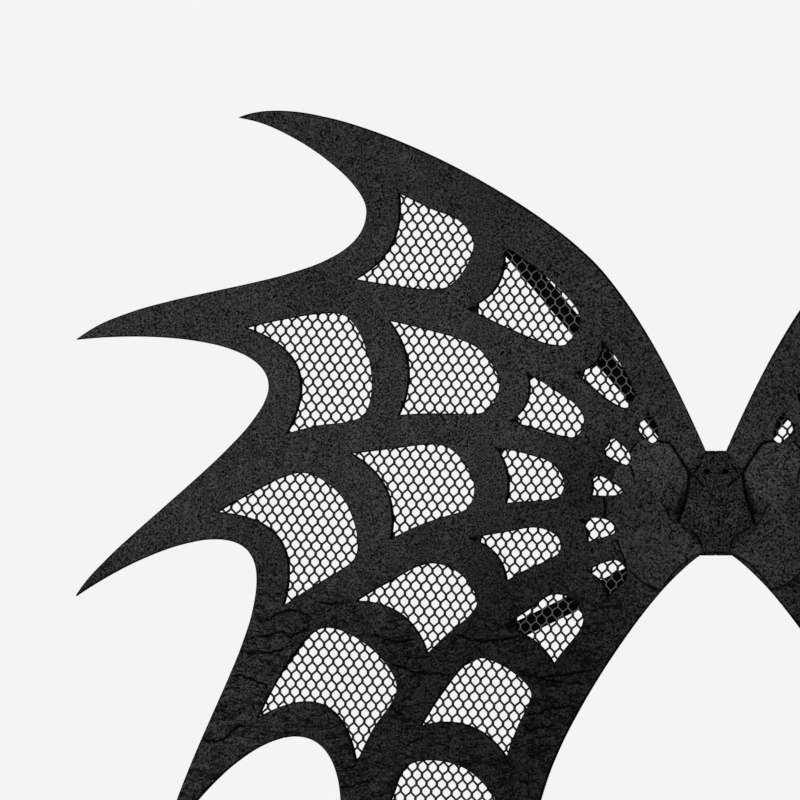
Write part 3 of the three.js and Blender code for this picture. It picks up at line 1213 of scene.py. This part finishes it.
@dataclass
class WebNet:
    """The hexagonal net behind one wing's windows."""

    side: Side
    material: bpy.types.Material
    cell: NetCell = NetCell()
    tilt: float = math.radians(4.3)
    thread_thick: float = 0.5 * MM
    unevenness: float = 0.35 * MM
    sway_pace: float = 55.0
    margin: int = 8
    least_share: float = 0.3

    @property
    def node(self) -> str:
        """The frame node that the net stands for."""
        return f"{self.side.prefix}_net"

    def one_cell(self, bm: bmesh.types.BMesh) -> list[bmesh.types.BMFace]:
        """Adds one cell: a ring from the threads' middle lines to a rounded hole.

        Args:
            bm: The bmesh that takes it.

        Returns:
            The ring's faces.
        """
        bm.verts.layers.float.new("on_rib")
        middle = bm.verts.layers.float.new("middle")
        rim = [bm.verts.new(corner) for corner in self.cell.corners()]
        edges = [bm.edges.new((before, here)) for before, here in zip([rim[-1], *rim], rim)]
        corners = set(rim)
        bmesh.ops.subdivide_edges(bm, edges=edges, cuts=1)
        outer = bm.edges[:]
        made = bmesh.ops.duplicate(bm, geom=bm.verts[:] + outer)
        across, up = self.cell.hole_scale()
        for old, new in made["vert_map"].items():
            if isinstance(new, bmesh.types.BMVert) and old.is_valid and old not in made["geom"]:
                pull = 1 - self.cell.rounding if old in corners else 1.0
                new.co = Vector((old.co.x * across * pull, 0.0, old.co.z * up * pull))
                old[middle] = 1.0
        inner = [e for e in made["geom"] if isinstance(e, bmesh.types.BMEdge)]
        return bmesh.ops.bridge_loops(bm, edges=outer + inner)["faces"]

    def repeated(self, bm: bmesh.types.BMesh, step: Vector, count: int) -> None:
        """Repeats everything in a row of copies.

        Args:
            bm: The bmesh.
            step: The way from one copy to the next.
            count: How many copies are added.
        """
        geom = bm.verts[:] + bm.edges[:] + bm.faces[:]
        bmesh.ops.spin(
            bm,
            geom=geom,
            cent=(0, 0, 0),
            axis=(0, 1, 0),
            dvec=step,
            angle=0,
            steps=count,
            use_duplicate=True,
        )

    def outline(self) -> list[Vector]:
        """The net's cut edge."""
        return max(Cutting(self.node, 1.0, 1.0, WING_BOW).loops(), key=len)

    def inside(self, point: Vector, outline: list[Vector]) -> bool:
        """Whether a point lies inside the cut edge.

        Args:
            point: The point.
            outline: The cut edge.

        Returns:
            True inside.
        """
        within = False
        for a, b in zip([outline[-1], *outline], outline):
            if (a.z > point.z) != (b.z > point.z):
                if point.x < a.x + (point.z - a.z) / (b.z - a.z) * (b.x - a.x):
                    within = not within
        return within

    def build(self) -> bpy.types.Object:
        """Makes the net.

        Returns:
            The finished object, standing for its node.
        """
        low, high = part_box(self.node)
        span = (high - low) + Vector((1, 0, 1)) * self.margin * self.cell.pitch
        bm = bmesh.new()
        self.one_cell(bm)
        self.repeated(bm, Vector((self.cell.pitch, 0, 0)), math.ceil(span.x / self.cell.pitch))
        self.repeated(bm, Vector((self.cell.pitch / 2, 0, self.cell.row)), 1)
        self.repeated(bm, Vector((0, 0, 2 * self.cell.row)), math.ceil(span.z / self.cell.row / 2))
        bmesh.ops.translate(bm, verts=bm.verts[:], vec=-span / 2)
        turn = Matrix.Rotation(-self.side.value * self.tilt, 3, "Y")
        bmesh.ops.rotate(bm, verts=bm.verts[:], matrix=turn)
        bmesh.ops.translate(bm, verts=bm.verts[:], vec=Vector((low.x + high.x, 0, low.z + high.z)) / 2)
        outline = self.outline()
        outside = [f for f in bm.faces if not self.inside(f.calc_center_median(), outline)]
        bmesh.ops.delete(bm, geom=outside, context="FACES")
        bmesh.ops.remove_doubles(bm, verts=bm.verts[:], dist=0.05 * MM)
        self.thicken(bm, sum(WING_BOW.root_span(self.node)) / 2)
        piece = finished(bm, f"{self.node}_threads", self.material, 180.0)
        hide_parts(self.node)
        return piece

    def thicken(self, bm: bmesh.types.BMesh, depth: float) -> None:
        """Gives the threads their round backs and bows the net with the wing.

        Args:
            bm: The flat net.
            depth: Where the middle of the net lies at the root.
        """
        on_rib = bm.verts.layers.float["on_rib"]
        middle = bm.verts.layers.float["middle"]
        shown = set(bm.verts)
        bmesh.ops.extrude_face_region(bm, geom=bm.edges[:] + bm.faces[:], use_keep_orig=True)
        for vert in bm.verts:
            place = vert.co * self.sway_pace
            sway = Vector((noise.noise(place), 0.0, noise.noise(place + Vector((0, 9, 0)))))
            vert.co += sway * self.unevenness
            # Strands in front of a rib, which the thread colour paints paler as painted light.
            vert[on_rib] = float(any(run.covers(vert.co.x, vert.co.z) for run in RIB_RUNS))
            half = self.thread_thick / 2 * vert[middle]
            vert.co.y = depth - WING_BOW.forward(vert.co.x) + (-half if vert in shown else half)
        bmesh.ops.remove_doubles(bm, verts=bm.verts[:], dist=0.02 * MM)
        bmesh.ops.recalc_face_normals(bm, faces=bm.faces[:])


@dataclass(frozen=True)
class RibRun:
    """A rib's name, its ends in millimetres out and up, and its width."""

    name: str
    start: Spot
    end: Spot
    width: float

    def covers(self, x: float, z: float) -> bool:
        """Whether a point lies in front of the rib.

        Args:
            x: The point's place along the wings, on either side.
            z: Its height.

        Returns:
            True in front of it.
        """
        point = Vector((abs(x), z)) / MM
        near, share = intersect_point_line(point, Vector(self.start), Vector(self.end))
        return 0 < share < 1 and (point - near).length * MM < self.width / 2


RIB_RUNS = (
    RibRun("upper_rib", (15, 23), (154, 187.5), 11 * MM),
    RibRun("lower_rib", (16, -28.5), (185, -111.5), 10.8 * MM),
)


@dataclass
class Rib:
    """A straight stiffening strip with rounded ends, behind the net."""

    side: Side
    run: RibRun
    material: bpy.types.Material
    end_round: float = 2.4 * MM
    edge_round: float = 0.3 * MM
    step: float = 4 * MM

    @property
    def node(self) -> str:
        """The frame node that the rib stands for."""
        return f"{self.side.prefix}_{self.run.name}"

    def build(self) -> bpy.types.Object:
        """Makes the rib.

        Returns:
            The finished object, standing for its node.
        """
        front, back = WING_BOW.root_span(self.node)
        thick = back - front
        runs = (self.run.start, self.run.end)
        ends = [Vector((self.side.value * out, 0, up)) * MM for out, up in runs]
        along = ends[1] - ends[0]
        bm = bmesh.new()
        bmesh.ops.create_cube(bm, size=1)
        bmesh.ops.scale(bm, verts=bm.verts[:], vec=(along.length, thick, self.run.width))
        upright = [e for e in bm.edges if abs((e.verts[0].co - e.verts[1].co).normalized().y) > 0.9]
        self.soften(bm, upright, self.end_round, 5)
        rims = [e for e in bm.edges if e.calc_face_angle() > math.radians(50)]
        self.soften(bm, rims, self.edge_round, 2)
        half = along.length / 2
        cut_across(bm, Vector((1, 0, 0)), self.step - half, half, self.step)
        slope = math.atan2(along.z, along.x)
        bmesh.ops.rotate(bm, verts=bm.verts[:], matrix=Matrix.Rotation(-slope, 3, "Y"))
        middle = (ends[0] + ends[1]) / 2 - SHOW * (front + back) / 2
        bmesh.ops.translate(bm, verts=bm.verts[:], vec=middle)
        for vert in bm.verts:
            vert.co.y -= WING_BOW.forward(vert.co.x)
        bmesh.ops.recalc_face_normals(bm, faces=bm.faces[:])
        piece = finished(bm, f"{self.node}_strip", self.material, 40.0)
        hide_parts(self.node)
        return piece

    def soften(
        self, bm: bmesh.types.BMesh, edges: list[bmesh.types.BMEdge], by: float, steps: int
    ) -> None:
        """Rounds edges.

        Args:
            bm: The strip.
            edges: The edges to round.
            by: The rounding's size.
            steps: How many faces it has.
        """
        bmesh.ops.bevel(
            bm,
            geom=edges,
            offset=by,
            affect="EDGES",
            segments=steps,
            profile=0.5,
            material=-1,
            clamp_overlap=True,
        )


# Studio


@dataclass(frozen=True)
class SoftBox:
    """A soft light: its place in metres to the right and up, its distance, its watts and its side."""

    name: str
    place: Spot
    ahead: float
    power: float
    size: float


@dataclass
class Studio:
    """The camera, the soft lights and the pale floor."""

    view_centre: Vector = field(default_factory=lambda: Vector((-197.5 * MM, -5 * MM, 62.5 * MM)))
    view_width: float = 500 * MM
    distance: float = 8.0
    sensor: float = 36.0
    floor_gap: float = 6 * MM
    floor_radius: float = 2.8
    floor_tones: tuple[Colour, Colour] = ((0.795, 0.795, 0.795), (0.805, 0.805, 0.805))
    paper: float = 0.905
    dome: float = 0.4
    key: SoftBox = SoftBox("key", (-1.6, 2.0), 1.6, 62.0, 1.0)
    fill: SoftBox = SoftBox("fill", (1.4, 0.4), 2.6, 10.0, 1.4)

    def camera(self) -> None:
        """Sets the camera square to the show side, far off, with the photo's frame."""
        data = bpy.data.cameras.new("camera")
        data.sensor_width = self.sensor
        data.lens = self.sensor * self.distance / self.view_width
        data.clip_end = 200.0
        camera = bpy.data.objects.new("camera", data)
        camera.location = self.view_centre + SHOW * self.distance
        camera.rotation_euler = (math.radians(90), 0, 0)
        bpy.context.scene.collection.objects.link(camera)
        bpy.context.scene.camera = camera

    def sky(self) -> None:
        """Fills the studio with even light and puts pale paper behind the object."""
        world = bpy.data.worlds.new("studio")
        world.use_nodes = True
        sheet = NodeSheet(world.node_tree)
        back = world.node_tree.nodes["Background"]
        seen = sheet.add("ShaderNodeLightPath").outputs["Is Camera Ray"]
        sheet.feed(back.inputs["Strength"], sheet.ramp(seen, (0.0, 1.0), (self.dome, self.paper)))
        back.inputs["Color"].default_value = (1.0, 1.0, 1.0, 1.0)
        bpy.context.scene.world = world
        bpy.context.scene.view_settings.view_transform = "Standard"

    def lamp(self, box: SoftBox) -> None:
        """Hangs a soft box aimed at the wings.

        Args:
            box: The soft box.
        """
        data = bpy.data.lights.new(box.name, "AREA")
        data.energy = box.power
        data.size = box.size
        lamp = bpy.data.objects.new(box.name, data)
        lamp.location = (box.place[0], -box.ahead, box.place[1])
        lamp.rotation_euler = (-lamp.location).to_track_quat("-Z", "Y").to_euler()
        bpy.context.scene.collection.objects.link(lamp)

    def floor(self) -> None:
        """Lays the pale floor just below the lowest tip."""
        material, sheet, shader = fresh_material("pale_floor")
        place = sheet.add("ShaderNodeTexCoord").outputs["Object"]
        grain = sheet.ramp(sheet.cloud(place, 60.0), (0.3, 0.7))
        sheet.feed(shader.inputs["Base Color"], sheet.blend(grain, *self.floor_tones))
        shader.inputs["Roughness"].default_value = 0.8
        bm = bmesh.new()
        bmesh.ops.create_circle(bm, cap_ends=True, radius=self.floor_radius, segments=96)
        bmesh.ops.translate(bm, verts=bm.verts[:], vec=(0, 0, cad_box[0].z - self.floor_gap))
        mesh = bpy.data.meshes.new("floor")
        bm.to_mesh(mesh)
        bm.free()
        mesh.materials.append(material)
        floor = bpy.data.objects.new("floor", mesh)
        bpy.context.scene.collection.objects.link(floor)

    def build(self) -> None:
        """Sets up the whole studio."""
        self.camera()
        self.sky()
        self.lamp(self.key)
        self.lamp(self.fill)
        self.floor()


def wing_cutting(side: Side) -> Cutting:
    """The blank of one wing."""
    return Cutting(f"{side.prefix}_wing", 2.5 * MM, 2 * MM, WING_BOW, JOINED_CORNERS)


def main() -> None:
    """Builds the studio and every piece of the wings."""
    logging.basicConfig(level=logging.INFO, format="%(message)s")
    Studio().build()
    groups = (fibre_group(), wrinkle_group())
    black = (0.0012, 0.0012, 0.0012)
    wing_finish = FeltFinish("wing_felt", black, (0.069, 0.069, 0.07), bare=0.05, wrinkled=1.0)
    patch_finish = FeltFinish("patch_felt", black, (0.07, 0.07, 0.07), bare=0.04, wrinkled=0.3)
    panel_finish = FeltFinish("panel_felt", black, (0.05, 0.05, 0.049), bare=0.2)
    wing_felt = wing_finish.make(*groups)
    patch_felt = patch_finish.make(*groups)
    panel_felt = panel_finish.make(*groups)
    thread = ThreadFinish().make()
    strip = RibFinish().make()
    slits = wing_cutting(Side.RIGHT).slits()
    wing_folds = CreaseMap((*WING_CREASES, *PATCH_RIM_SHADOWS, LOOP_HOLE_SHADE, *slits))
    patch_folds = CreaseMap((*PATCH_CREASES, *PATCH_RIM_SHADOWS, *PANEL_RIM_SHADOWS, FLAP_SHADE))
    panel_folds = CreaseMap((*PANEL_CREASES, *PANEL_RIM_SHADOWS))
    for side in Side:
        WingFelt(
            wing_cutting(side),
            2 * MM,
            wing_felt,
            Slot.FELT,
            Hold.STRETCHED,
            wing_folds,
            WING_SHADE_SPOTS,
            slant=1.2 * MM,
            bands=(2.6 * MM, 1.7 * MM, 1.0 * MM),
        ).build()
        WebNet(side, thread).build()
        for run in RIB_RUNS:
            Rib(side, run, strip).build()
        patch_cut = Cutting(f"{side.prefix}_root_patch", 1.5 * MM, 1.2 * MM)
        FeltPiece(patch_cut, 1.5 * MM, patch_felt, Slot.PATCH, Hold.LAID, patch_folds, PATCH_SHADE_SPOTS).build()
    panel_cut = Cutting("centre_panel", 0.9 * MM, 0.8 * MM, corner=math.radians(6))
    CentrePanel(panel_cut, 2 * MM, panel_felt, Slot.PANEL, Hold.LAID, panel_folds, swell=0.1 * MM).build()


if __name__ == "__main__":
    main()
